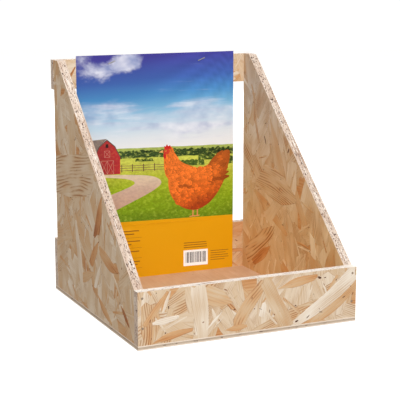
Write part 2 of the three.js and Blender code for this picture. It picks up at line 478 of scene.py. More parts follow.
def strand_outline(rng, length, width, taper=None, bend=None):
    """A pressed strand: long sides along the grain, ends cut on a slant and splintered."""
    half, wide = length / 2, width / 2
    if taper is None:
        taper = [rng.choice((0.3, 0.6, 0.85, 1.0, 1.0)) for _ in range(2)]
    if bend is None:
        bend = rng.uniform(-0.0012, 0.0012)
    lean = [rng.uniform(-0.8, 0.8) for _ in range(2)]
    waves = [(rng.uniform(0.02, 0.10), rng.uniform(0.5, 1.6), rng.uniform(0, math.tau)) for _ in range(2)]
    steps = 6
    splinter = min(4.5, width * 0.22)

    def place(share, side):
        """A point at a share of the length, on one side or part of the way to it."""
        narrowing = (
            taper[0] + (1 - taper[0]) * min(share / 0.4, 1),
            taper[1] + (1 - taper[1]) * min((1 - share) / 0.4, 1),
        )
        amount, turns, start = waves[side > 0]
        ripple = wide * amount * math.sin(start + turns * math.tau * share) * abs(side)
        v = wide * min(narrowing) * side + ripple
        u = (share - 0.5) * length + v * (lean[0] * (1 - share) + lean[1] * share)
        return [u, v]

    points = []
    for side, outwards in ((-1, 1), (1, -1)):
        shares = [i / steps for i in range(steps + 1)][::outwards]
        points += [place(share, side) for share in shares]
        teeth = max(2, int(width / 5))
        for tooth in range(1, teeth):
            u, v = place(shares[-1], side * (1 - 2 * tooth / teeth))
            points.append([u + outwards * rng.uniform(-0.6, 1.0) * splinter, v])
    points = np.array(points)
    points[:, 1] += bend * (points[:, 0] ** 2 - half ** 2 / 3)
    return points


def placed_strand(rng, x, y, degrees, length, width, tone, taper, bend=None, figure=FAINT):
    """A strand with a chosen place and look, above all the others."""
    angle = math.radians(degrees)
    outline = turned(strand_outline(rng, length, width, taper, bend), (x, y), angle)
    return layer(outline, (x, y), angle, rng, tone, *figure, height=CHOSEN_HEIGHT)


def strand_tone(rng):
    """Most strands are pale; some are straw or tan, and a few are orange-brown heartwood."""
    middle, spread = rng.choice(((0.16, 0.08), (0.30, 0.08), (0.42, 0.08), (0.66, 0.12)))
    return unit(rng.gauss(middle, spread))


def strands(rng, outline, lean_to, spread, warmth, calm, lined):
    """Strands over an outline: a loose grid of large ones, then more on top, and splinters last.

    Warmth darkens them all, a calm below 1 brings their tones closer together, and lined is how
    strongly their rings show.
    """
    low, high = outline.min(0), outline.max(0)
    size = high - low
    columns, rows = (max(1, round(s / PITCH)) for s in size)
    places = []
    for i in range(columns + 1):
        for j in range(rows + 1):
            jitter = np.array((rng.uniform(-12, 12), rng.uniform(-12, 12)))
            places.append((low + size * (i / columns, j / rows) + jitter, LARGE))
    rng.shuffle(places)
    count = len(places)
    places += [(low + size * (rng.random(), rng.random()), 1.0) for _ in range(int(count * MORE))]
    places += [(low + size * (rng.random(), rng.random()), SMALL) for _ in range(int(count * SPLINTERS))]
    layers = []
    for index, (centre, scale) in enumerate(places):
        angle = rng.gauss(lean_to, spread) if rng.random() < ALONG else rng.uniform(0, math.pi)
        length, width = rng.uniform(55, 120), rng.uniform(14, 34) * scale
        if scale == SMALL:
            length *= 0.38
            tone = rng.choice((0.08, 0.2, 0.6, 0.82))
        else:
            tone = strand_tone(rng)
        tone = unit(MIDDLE_TONE + (tone - MIDDLE_TONE) * calm + warmth)
        layers.append(layer(
            turned(strand_outline(rng, length, width), centre, angle), centre, angle, rng, tone,
            spacing=rng.uniform(1.3, 3.8), contrast=lined * (0.1 + 0.75 * rng.random() ** 2),
            curve=rng.choice((0.0, 0.0, 1.0, -1.0)) * rng.uniform(0.002, 0.008),
            height=LOWEST + RISE * index / len(places),
        ))
    return layers


def sliver(rng, centre, angle, length, width):
    """A narrow pointed shape, such as a splinter, a shred of bark or the gap beside one."""
    points = []
    for turn in np.arange(8) * math.tau / 8:
        swell = 1 + rng.uniform(-0.3, 0.3)
        points.append((length / 2 * math.cos(turn), width / 2 * math.sin(turn) * swell))
    return turned(np.array(points), centre, angle)


def mark(rng, centre, angle, length, width, pit):
    """A small dark pit, or a shred of bark pressed into the face."""
    return layer(
        sliver(rng, centre, angle, length, width), centre, angle, rng, tone=1.0, spacing=2.0, contrast=0.6,
        height=-0.6 if pit else 0.33, bevel=0.2, hole=0.95 if pit else 0.5,
    )


def marks(rng, outline, around, share):
    """Dark shreds and small pits, mostly at the ends of strands."""
    layers = []
    low, high = outline.min(0) + 3, outline.max(0) - 3
    for strand in rng.sample(around, int(len(around) * share)):
        end = strand.outline[rng.randrange(len(strand.outline))]
        centre = end + np.array((rng.uniform(-3, 3), rng.uniform(-3, 3)))
        if np.all(centre > low) and np.all(centre < high):
            angle = strand.angle + rng.gauss(0, 0.25)
            long, wide = rng.uniform(1.8, 5.5), rng.uniform(0.6, 1.5)
            layers.append(mark(rng, centre, angle, long, wide, pit=rng.random() < 0.5))
    return layers


def nail_hole(rng, centre):
    """The round mouth of the hole that a nail's head lies in."""
    ring = oval(*centre, 2 * NAIL_HOLE_RADIUS, 2 * NAIL_HOLE_RADIUS, corners=20)
    return layer(ring, centre, 0.0, rng, 0.9, 2.0, 0.2, height=-NAIL_HOLE_DEPTH, bevel=0.2, hole=0.35)


def ply(rng, outline, centre, angle, tone, spacing=3.0, contrast=0.4, curve=0.0):
    """A flat layer without a bevel, such as a sheet of veneer or the ground of a cut edge."""
    return layer(outline, centre, angle, rng, tone, spacing, contrast, curve, height=0.0, bevel=0.0)


def cut_layers(rng, length, thickness, openness, tone):
    """The cut edge of strand board: strands seen end-on as thin streaks, and the voids between them."""
    layers = [ply(rng, rectangle(0, 0, length, thickness), (0, 0), 0.0, tone, 4.0, 0.3)]
    margin = 0.8

    def scatter(per_mm2, long_range, thin_range, heights, tone, hole):
        for _ in range(int(length * thickness * per_mm2)):
            long = min(rng.uniform(*long_range), length - 2 * margin - 0.2)
            thin = rng.uniform(*thin_range)
            tilt = rng.gauss(0, 0.02)
            half_rise = abs(math.sin(tilt)) * long / 2 + thin / 2
            s = rng.uniform(margin + long / 2, length - margin - long / 2)
            t = rng.uniform(margin + half_rise, thickness - margin - half_rise)
            layers.append(layer(
                sliver(rng, (s, t), tilt, long, thin), (s, t), tilt, rng, unit(rng.gauss(*tone)),
                spacing=rng.uniform(1.5, 4.0), contrast=rng.random(), height=rng.uniform(*heights),
                bevel=0.16, hole=hole,
            ))

    # Strands seen end-on, then voids: the sunken ones carry painted shade, darker the deeper they lie
    scatter(0.014, (7, 26), (0.6, 1.2), (0.05, 0.2), (0.45, 0.35), 0.0)
    scatter(0.045 * openness, (1.2, 4.5), (0.5, 1.0), (0.0, 0.1), (1.0, 0.1), 0.22)
    scatter(0.065 * openness, (0.9, 2.8), (0.5, 1.0), (-0.9, -0.4), (1.0, 0.1), 0.6)
    scatter(0.006 * openness, (1.8, 4.5), (0.9, 1.7), (-1.4, -0.9), (1.0, 0.1), 1.0)
    return layers


# ---------------------------------------------------------------- boards

def new_object(name, data):
    """An object in the scene that shows the data, which is a mesh, lamp or camera."""
    item = bpy.data.objects.new(name, data)
    bpy.context.scene.collection.objects.link(item)
    return item


def make_object(name, points, triangles, corner_values, materials, material_index):
    """A mesh object from arrays, with attributes at corners. Points that no triangle uses are dropped."""
    used, triangles = np.unique(triangles, return_inverse=True)
    points, triangles = points[used], triangles.reshape(-1, 3)
    mesh = bpy.data.meshes.new(name)
    mesh.vertices.add(len(points))
    mesh.vertices.foreach_set("co", (np.asarray(points) * MM).astype(np.float32).ravel())
    mesh.loops.add(3 * len(triangles))
    mesh.loops.foreach_set("vertex_index", np.asarray(triangles, np.int32).ravel())
    mesh.polygons.add(len(triangles))
    mesh.polygons.foreach_set("loop_start", np.arange(len(triangles), dtype=np.int32) * 3)
    mesh.update(calc_edges=True)
    for attribute, values in corner_values.items():
        made = mesh.attributes.new(attribute, "FLOAT_VECTOR", "CORNER")
        made.data.foreach_set("vector", np.asarray(values, np.float32).ravel())
    for material in materials:
        mesh.materials.append(material)
    mesh.polygons.foreach_set("material_index", np.asarray(material_index, np.int32))
    mesh.polygons.foreach_set("use_smooth", np.zeros(len(triangles), bool))
    mesh.validate()
    return new_object(name, mesh)


def subdivided(outline, step):
    """The outline with points added along its sides, about a step apart."""
    points = []
    for start, end in zip(outline, np.roll(outline, -1, 0)):
        count = max(1, round(float(np.linalg.norm(end - start)) / step))
        points.extend(start + (end - start) * i / count for i in range(count))
    return np.array(points)


# How far the bare cut edges lie inside the CAD board's
EDGE_SINK = 0.2


class Board:
    """A flat board whose two faces and cut edges are cut up by layers, joined into one closed mesh.

    Its outline lies in the two axes other than deep, and runs anticlockwise in them. Its thickness
    runs along their cross product, from the near face at depth 0 to the far face.
    """

    def __init__(self, node, deep):
        self.node = node
        self.deep = deep
        self.flat = [axis for axis in range(3) if axis != deep]
        self.sign = -1 if deep == 1 else 1
        corners = np.array([tuple(v.co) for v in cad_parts[node].data.vertices]) / MM
        low, high = corners[:, deep].min(), corners[:, deep].max()
        self.start = low if self.sign > 0 else high
        self.thickness = high - low
        self.levels = np.linspace(0, self.thickness, max(4, round(self.thickness / 1.5)) + 1)[1:-1]
        flat = [Vector(p) for p in np.unique(corners[:, self.flat].round(2), axis=0)]
        self.outline = self.tidy(np.array([tuple(flat[i]) for i in convex_hull_2d(flat)]))

    @staticmethod
    def tidy(hull):
        """The hull without the points that lie along its straight sides, anticlockwise."""
        before = hull - np.roll(hull, 1, 0)
        after = np.roll(hull, -1, 0) - hull
        turn = before[:, 0] * after[:, 1] - before[:, 1] * after[:, 0]
        return anticlockwise(hull[abs(turn) > 1e-2 * np.linalg.norm(before, axis=1)])

    def in_space(self, flat, depth):
        points = np.zeros((len(flat), 3))
        points[:, self.flat] = flat
        points[:, self.deep] = self.start + self.sign * np.asarray(depth)
        return points

    def build(self, name, near_layers, far_layers, edge_layers, materials, top=0.35, step=3.0, cut=CutUp,
              grid=()):
        """Faces first, then one strip per side that shares the faces' border points.

        Top is how far the bare faces lie below the CAD board's, and step is the spacing of border points.
        """
        border = subdivided(self.outline, step)
        faces = [cut(border, near_layers, grid), cut(border, far_layers, grid)]
        points, triangles, values, kinds = [], [], [], []
        starts = []
        total = 0
        for face, near in zip(faces, (True, False)):
            sunk = top - face.heights()
            points.append(self.in_space(face.points, sunk if near else self.thickness - sunk))
            turn = slice(None, None, -1 if near else 1)
            triangles.append(face.triangles[:, turn] + total)
            values.append({key: value[:, turn] for key, value in face.corner_values().items()})
            kinds.append(np.full(len(face.triangles), 0))
            starts.append(total)
            total += len(face.points)
        columns = []
        for corner in self.outline:
            columns.append(np.arange(len(self.levels)) + total)
            points.append(self.in_space(np.repeat(corner[None], len(self.levels), 0), self.levels))
            total += len(self.levels)
        for k, begin in enumerate(self.outline):
            following = (k + 1) % len(self.outline)
            away = self.outline[following] - begin
            length = float(np.linalg.norm(away))
            along = away / length
            outwards = np.array((along[1], -along[0]))
            (near_s, near_i), (far_s, far_i) = [self.row(face, begin, along, length) for face in faces]
            loop = [(s, 0.0) for s in near_s] + [(length, t) for t in self.levels]
            loop += [(s, self.thickness) for s in far_s[::-1]] + [(0.0, t) for t in self.levels[::-1]]
            shared = np.concatenate((
                near_i + starts[0], columns[following], far_i[::-1] + starts[1], columns[k][::-1]))
            strip = cut(np.array(loop), edge_layers(length, self.thickness))
            known = [min(origin, default=len(shared)) for origin in strip.from_verts]
            fresh = [i for i, origin in enumerate(known) if origin >= len(shared)]
            index = shared[np.minimum(known, len(shared) - 1)]
            index[fresh] = total + np.arange(len(fresh))
            lift = strip.heights()[fresh] - EDGE_SINK
            place = begin + along * strip.points[fresh][:, :1] + outwards * lift[:, None]
            points.append(self.in_space(place, strip.points[fresh][:, 1]))
            total += len(fresh)
            triangles.append(index[strip.triangles])
            values.append(strip.corner_values())
            kinds.append(np.full(len(strip.triangles), 1))
        merged = {key: np.concatenate([value[key] for value in values]) for key in values[0]}
        points, triangles, kinds = (np.concatenate(rows) for rows in (points, triangles, kinds))
        piece = make_object(name, points, triangles, merged, materials, kinds)
        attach(piece, "root")
        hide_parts(self.node)
        return piece

    @staticmethod
    def row(face, begin, along, length):
        """The face's points on one side of the outline, in order, as distances and point numbers."""
        used = face.border()
        away = face.points[used] - begin
        s = away @ along
        off = abs(away[:, 0] * along[1] - away[:, 1] * along[0])
        on = (off < 1e-3) & (s > -1e-3) & (s < length + 1e-3)
        order = np.argsort(s[on])
        return np.clip(s[on][order], 0, length), used[on][order]

    def nails(self, near):
        """Where the nails' heads lie on one face of the board, in the board's own plane."""
        face = self.start if near else self.start + self.sign * self.thickness
        places = []
        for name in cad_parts:
            low, high = (np.array(c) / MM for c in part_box(name))
            ends = (low[self.deep], high[self.deep])
            if "nail" in name and ends[1] - ends[0] > 10 and min(abs(end - face) for end in ends) < 1:
                places.append(((low + high) / 2)[self.flat])
        return places


# ---------------------------------------------------------------- strand boards

# Strands that stand out, on top of the others: x, y, degrees, length, width, tone and taper, then the
# bend and the figure of those that need their own. They lie on the near face of the side panels and on
# the far, outer face of the front board.
LEFT_STRANDS = (
    (66, 176, -10, 158, 56, 0.44, (0.95, 0.9), 0.0006, (4.6, 1.0, 0.0004)),
    (-27, 138, 112, 58, 18, 0.86, (1.0, 0.08)),
    (-8, 87, 130, 46, 14, 0.84, (0.9, 0.1)),
    (-60, 86, 12, 68, 17, 0.74, (0.2, 0.7), 0.003),
    (-42, 20, 28, 54, 12, 0.76, (0.4, 0.1), 0.002),
    (-114, 31, 35, 34, 8, 1.0, (0.2, 0.2)),
    (26, 48, -20, 60, 14, 0.66, (0.3, 0.8)),
    (-20, 60, -58, 44, 9, 0.10, (0.2, 0.9)),
    (52, 70, 78, 92, 17, 0.20, (0.8, 0.3), None, FINE),
)
FRONT_STRANDS = (
    (104, 30, 33, 112, 24, 0.12, (0.35, 1.0), 0.0018, FINE),
    (114, 23, 31, 96, 12, 0.66, (0.5, 0.6), 0.0030, FINE),
    (64, 60, 10, 54, 12, 0.70, (0.05, 0.6)),
    (-2, 41, 54, 68, 17, 0.62, (1.0, 0.6), None, BOLD),
    (34, 37, -63, 74, 19, 0.48, (0.7, 1.0), None, FINE),
    (16, 31, 80, 18, 9, 0.02, (0.9, 0.3)),
    (-46, 53, -22, 42, 23, 0.56, (1.0, 0.1)),
    (-68, 34, -84, 74, 20, 0.20, (1.0, 0.6), None, (2.0, 0.2, 0.0)),
    (-115, 33, 8, 34, 9, 0.00, (0.3, 0.5), None, FINE),
    (-50, 25, 44, 30, 3, 0.00, (0.2, 0.2)),
    (-45, 21, 44, 24, 2.5, 0.05, (0.2, 0.2)),
    (-106, 13, 12, 54, 9, 0.74, (0.1, 0.5), -0.003),
    (-126, 49, 52, 50, 8, 0.66, (0.7, 0.4)),
    (-20, 12, 4, 30, 8, 0.80, (0.1, 0.3)),
)
RIGHT_STRANDS = (
    (36, 143, 10, 108, 44, 0.46, (0.15, 0.9), None, (3.2, 1.0, 0.0012)),
    (88, 52, 146, 104, 30, 0.52, (0.9, 0.4), None, (6.0, 1.3, 0.002)),
    (82, 36, 146, 64, 15, 0.84, (0.7, 0.1)),
    (-64, 79, 80, 30, 14, 0.06, (0.9, 0.9)),
)


def strand_board(node, deep, seed, warmth, calm, lean_to=math.pi / 2, spread=0.55, chosen=((), ()),
                 knots=(), lined=1.0, openness=0.5, planed=False, face=osb_face):
    """An OSB board, with chosen strands for its near and far face, and knots on a face that has them.

    A knot is x, y, degrees, length and width. Openness is how many voids the board's edges show. The
    long edges of a planed board are pale and closed.
    """
    rng = random.Random(seed)
    board = Board(node, deep)
    faces = []
    for near, placed in zip((True, False), chosen):
        laid = strands(rng, board.outline, lean_to, spread, warmth, calm, lined)
        laid += [placed_strand(rng, *strand) for strand in placed]
        laid += marks(rng, board.outline, laid, 0.35)
        if placed:
            laid += [mark(rng, (x, y), math.radians(turn), *size, pit=True) for x, y, turn, *size in knots]
        laid += [nail_hole(rng, place) for place in board.nails(near)]
        faces.append(laid)

    def edge_layers(length, thickness):
        if planed and length > 200:
            return cut_layers(rng, length, thickness, openness=0.25, tone=0.3)
        return cut_layers(rng, length, thickness, openness, tone=0.75)

    piece = board.build(node + "_osb", *faces, edge_layers, (face, osb_cut))


strand_board("left_side_panel", 0, 11, 0.05, 0.55, chosen=(LEFT_STRANDS, ()), spread=0.7, openness=1.0)
# The right panel's faces carry painted warm bounce light towards their foot
strand_board(
    "right_side_panel", 0, 23, 0.05, 0.52, chosen=(RIGHT_STRANDS, ()), lined=1.5, openness=1.2,
    face=osb_painted_bounce, knots=((75, 204, 62, 14, 2.6), (7, 198, -60, 8, 3.0)),
)
strand_board(
    "front_board", 1, 37, 0.03, 0.5, chosen=((), FRONT_STRANDS), lined=1.7, openness=0.9, planed=True,
    knots=((96, 63, -20, 6, 3), (104, 62, 10, 3, 1.5), (64, 10, 20, 5, 2.6), (80, 14, 40, 6, 1.4)),
)
strand_board("upper_back_rail", 1, 41, 0.14, 0.7, lean_to=0.2)
strand_board("lower_back_board", 1, 59, 0.36, 0.4, lean_to=0.1)


# ---------------------------------------------------------------- plywood floor

# Where two sheets of veneer meet, on the underside and on the upper side, and half the gap there
VENEER_SEAMS = (-38.0, 86.0)
HALF_GAP = 0.15


def plywood_floor(node):
    """Three-ply panel: two veneer sheets joined on each face, and a thicker core seen at the edges."""
    rng = random.Random(71)
    board = Board(node, 2)
    low, high = board.outline.min(0), board.outline.max(0)
    faces = []
    for near, seam in zip((True, False), VENEER_SEAMS):
        sheets = []
        for left, right, tone in ((low[0], seam - HALF_GAP, 0.64), (seam + HALF_GAP, high[0], 0.52)):
            middle = ((left + right) / 2, -40.0)
            sheet = rectangle(left, low[1], right, high[1])
            sheets.append(ply(rng, sheet, middle, math.pi / 2, tone, 11.0, 0.22, 0.0003))
        for _ in range(7):
            x, y = rng.uniform(low[0] + 9, high[0] - 9), rng.uniform(low[1] + 20, high[1] - 20)
            sheets.append(mark(rng, (x, y), math.pi / 2, rng.uniform(3, 8), rng.uniform(0.5, 1.0), True))
        sheets += [nail_hole(rng, place) for place in board.nails(near)]
        faces.append(sheets)

    def edge_layers(length, thickness):
        core = rectangle(0, board.levels[0], length, board.levels[-1])
        whole = rectangle(0, 0, length, thickness)
        plies = [ply(rng, shape, (0, 0), 0.0, tone) for shape, tone in ((whole, 0.0), (core, 0.7))]
        # Gaps in the core, sunk and darkened with painted shade
        for _ in range(int(length / 18)):
            gap = (rng.uniform(6, length - 6), rng.uniform(thickness * 0.4, thickness * 0.6))
            outline = sliver(rng, gap, 0.0, rng.uniform(1.5, 6), rng.uniform(0.4, 1.0))
            plies.append(layer(outline, gap, 0.0, rng, 1.0, 2.0, 0.5, height=-0.5, bevel=0.15, hole=0.8))
        return plies

    piece = board.build(
        node + "_plywood", *faces, edge_layers, (veneer_face, veneer_cut), top=0.0, step=6.0)


plywood_floor("floor_panel")


# ---------------------------------------------------------------- printed card

def smooth(corners):
    """A closed curve through corners (a Catmull-Rom spline)."""
    corners = np.array(corners, float)
    before, after = np.roll(corners, 1, 0), np.roll(corners, -1, 0)
    beyond = np.roll(corners, -2, 0)
    points = []
    for p0, p1, p2, p3 in zip(before, corners, after, beyond):
        for t in (0.0, 0.25, 0.5, 0.75):
            points.append(0.5 * (2 * p1 + (p2 - p0) * t + (2 * p0 - 5 * p1 + 4 * p2 - p3) * t ** 2
                                 + (3 * p1 - p0 - 3 * p2 + p3) * t ** 3))
    return np.array(points)


def bar(x0, y0, x1, y1, width):
    """A straight stroke between two points."""
    away = np.array((x1 - x0, y1 - y0), float)
    length = np.linalg.norm(away)
    shape = rectangle(0, -width / 2, length, width / 2)
    return turned(shape, (x0, y0), math.atan2(away[1], away[0]))


def bumpy_band(rng, left, right, low, high, bump, step):
    """A band whose upper side is a row of rounded bumps, such as tree tops or long grass."""
    upper = []
    x = left
    while x < right:
        wide = rng.uniform(0.7, 1.4) * step
        rise = rng.uniform(0.4, 1.0) * bump
        upper += [(x + wide * share, high + rise * math.sin(math.pi * share))
                  for share in (0.05, 0.3, 0.6, 0.85)]
        x += wide
    return np.array([(left, low), (x, low)] + upper[::-1])


def ink(red, green, blue):
    return np.array(srgb(red, green, blue)[:3])


def blend_inks(values, stops):
    """Inks at values, blended between stops in rising order, each a value and its red, green and blue."""
    places = [place for place, *_ in stops]
    shades = [ink(*colour) for _, *colour in stops]
    return np.stack([np.interp(values, places, [shade[i] for shade in shades]) for i in range(3)], -1)


class Picture:
    """Shapes in painter's order on the card, whose lower left corner is the origin."""

    def __init__(self, place, slant):
        self.place = place
        self.slant = slant
        self.layers = []

    def add(self, outline, shade, texture=(0.0, 0.0, 0.0)):
        """A shape; its shade is a red, green and blue, or a function from places on the card to inks."""
        outline = anticlockwise(np.array(outline, float))
        outline[:, 1] -= self.slant * outline[:, 0]
        shade = shade if callable(shade) else ink(*shade)
        self.layers.append(SimpleNamespace(
            outline=outline + self.place, bevel=0.0, height=0.0, shade=shade, texture=texture, picture=self))

    def on_card(self, points):
        found = points - self.place
        found[..., 1] += self.slant * found[..., 0]
        return found


class PrintedCutUp(CutUp):
    """A face cut up along the shapes of a picture, with ink at each corner."""

    def corner_values(self):
        inks = np.full(self.triangles.shape + (3,), 0.7)
        texture = np.zeros(self.triangles.shape + (3,))
        for number, layer in enumerate(self.layers):
            mine = self.owner == number
            if mine.any():
                places = layer.picture.on_card(self.points[self.triangles[mine]])
                inks[mine] = layer.shade(places) if callable(layer.shade) else layer.shade
                texture[mine] = layer.texture(places) if callable(layer.texture) else layer.texture
        return {"ink": inks, "texture": texture}


# Where the sky is cloudy: x, y, reach across and up, and amount, below 0 where the cloud lies in streaks
CLOUDS = (
    (76, 314, 28, 18, 0.75), (42, 296, 32, 15, 0.65), (4, 306, 26, 24, 0.55), (20, 266, 34, 12, 0.5),
    (48, 300, 62, 30, 0.12), (30, 246, 70, 26, -0.7), (120, 222, 150, 20, -0.7), (190, 250, 60, 34, -0.5))


def paint_sky(picture, wide, high):
    """Deep violet-blue at the top, through blue and cyan, to white haze over the horizon."""
    stops = (
        (188, 230, 232, 234), (208, 214, 224, 232), (226, 180, 208, 228),
        (244, 118, 176, 212), (264, 70, 134, 190), (286, 58, 92, 166), (320, 62, 56, 142),
    )

    def shade(places):
        x, y = places[..., 0], places[..., 1]
        # Faint beams that fan out from beyond the upper right corner
        beam = np.sin(16 * np.arctan2(y - 350, x - 270)) ** 2 * np.clip((x - 90) / 90, 0, 1)
        beam *= np.clip((y - 235) / 50, 0, 1)
        return blend_inks(y - 16 * (x / wide - 0.45), stops) * (0.98 + 0.3 * beam)[..., None]

    def clouds(places):
        x, y = places[..., 0], places[..., 1]
        cloudy = 0 * x
        for middle, height, wide_by, high_by, amount in CLOUDS:
            cloudy += amount * np.exp(-((x - middle) / wide_by) ** 2 - ((y - height) / high_by) ** 2)
        return np.stack((cloudy, 0 * x, 0 * x), -1)

    picture.add(rectangle(-2, 180, wide + 2, high + 8), shade, clouds)


def paint_land(picture, rng, wide):
    """Hills, woods, fields, a fence, a lawn and a path that winds through it."""
    leaves = (0.0, 1.0, 0.0)
    picture.add(bumpy_band(rng, -4, wide + 4, 176, 190.0, 0.8, 30), (160, 176, 88), (0.0, 0.32, 0.0))
    picture.add(bumpy_band(rng, -4, 150, 170, 185.5, 2.6, 7), (54, 78, 34), leaves)
    picture.add(bumpy_band(rng, 140, wide + 4, 172, 185.0, 3.4, 8), (46, 70, 30), leaves)

    def meadow(places):
        return blend_inks(places[..., 1], (
            (84, 98, 130, 18), (112, 126, 156, 20), (134, 148, 170, 30), (150, 172, 182, 52),
            (160, 186, 190, 72), (172, 192, 198, 80), (180, 178, 190, 76)))

    picture.add(bumpy_band(rng, -4, wide + 4, 80, 175.5, 1.2, 24), meadow, (0.0, 0.4, 0.0))
    for x, y, long, high in ((168, 166, 40, 9), (198, 173, 30, 8), (226, 168, 34, 12), (96, 172, 22, 2.5)):
        picture.add(bumpy_band(rng, x - long / 2, x + long / 2, y - high * 0.5, y + high * 0.3, 3.0, 6),
                    (64, 88, 32), leaves)
    for y in (165.5, 162.3, 158.8):
        picture.add(bar(61, y, 134, y - 0.4, 0.8), (126, 98, 70))
    for x in (64, 80, 97, 114, 131):
        picture.add(rectangle(x, 156.5, x + 1.3, 167.5), (96, 72, 52))
    winding = smooth((
        (34, 154), (84, 152), (114, 148), (125, 139), (112, 128), (84, 115), (40, 97), (-8, 84), (-8, 108),
        (38, 122), (74, 134), (84, 141), (70, 147), (34, 151)))
    picture.add(winding, lambda places: blend_inks(places[..., 1], (
        (86, 184, 144, 122), (130, 196, 166, 148), (152, 214, 196, 168))), (0.0, 0.2, 0.0))
    for _ in range(120):
        x, y = rng.uniform(0, wide), rng.uniform(88, 126)
        if is_inside(np.array(((x, y),)), winding)[0]:
            continue
        blade = rng.uniform(2.0, 4.5) * (1.5 - y / 150)
        lean = rng.uniform(-0.9, 0.9)
        picture.add(np.array(((x - 0.5, y), (x + 0.5, y), (x + lean, y + blade))),
                    rng.choice(((66, 108, 10), (130, 172, 30), (92, 140, 18))))


def braced(picture, left, low, right, high, width, shade):
    """A framed door or hatch with two crossed braces."""
    corners = ((left, low), (right, low), (right, high), (left, high))
    for start, end in ((0, 1), (1, 2), (2, 3), (3, 0), (0, 2), (1, 3)):
        picture.add(bar(*corners[start], *corners[end], width), shade)


def paint_barn(picture):
    """A red barn with a hipped gable, a grey roof that runs back to the left, and pale trim."""
    red, pale_red, dark_red, trim = (150, 46, 48), (178, 44, 48), (118, 32, 36), (184, 118, 104)
    picture.add(((8, 154), (24, 154), (24, 181), (2, 181)), dark_red)
    roof = ((43, 205), (14, 203), (-3, 179), (23, 178.5), (31, 194))
    picture.add(roof, (124, 112, 106), (0.0, 0.25, 0.0))
    gable = [(23.5, 154), (62.5, 154.5), (62.5, 179), (54.5, 194), (43, 203.5), (31.5, 194), (23.5, 179)]
    boards = ((23, *red), (62, *pale_red))
    picture.add(gable, lambda places: blend_inks(places[..., 0], boards), (0.0, 0.14, 0.0))
    for x in range(26, 62, 3):
        picture.add(rectangle(x, 155, x + 0.35, 179), dark_red)
    for (x0, y0), (x1, y1) in zip(gable[2:6], gable[3:7]):
        picture.add(bar(x0, y0, x1, y1, 1.4), (92, 76, 68))
    braced(picture, 33.5, 155, 43, 174, 0.6, trim)
    braced(picture, 43, 155, 52.5, 174, 0.6, trim)
    braced(picture, 39, 179, 47, 188, 0.6, trim)
    picture.add(rectangle(41, 192.5, 45, 197.5), (44, 26, 26))


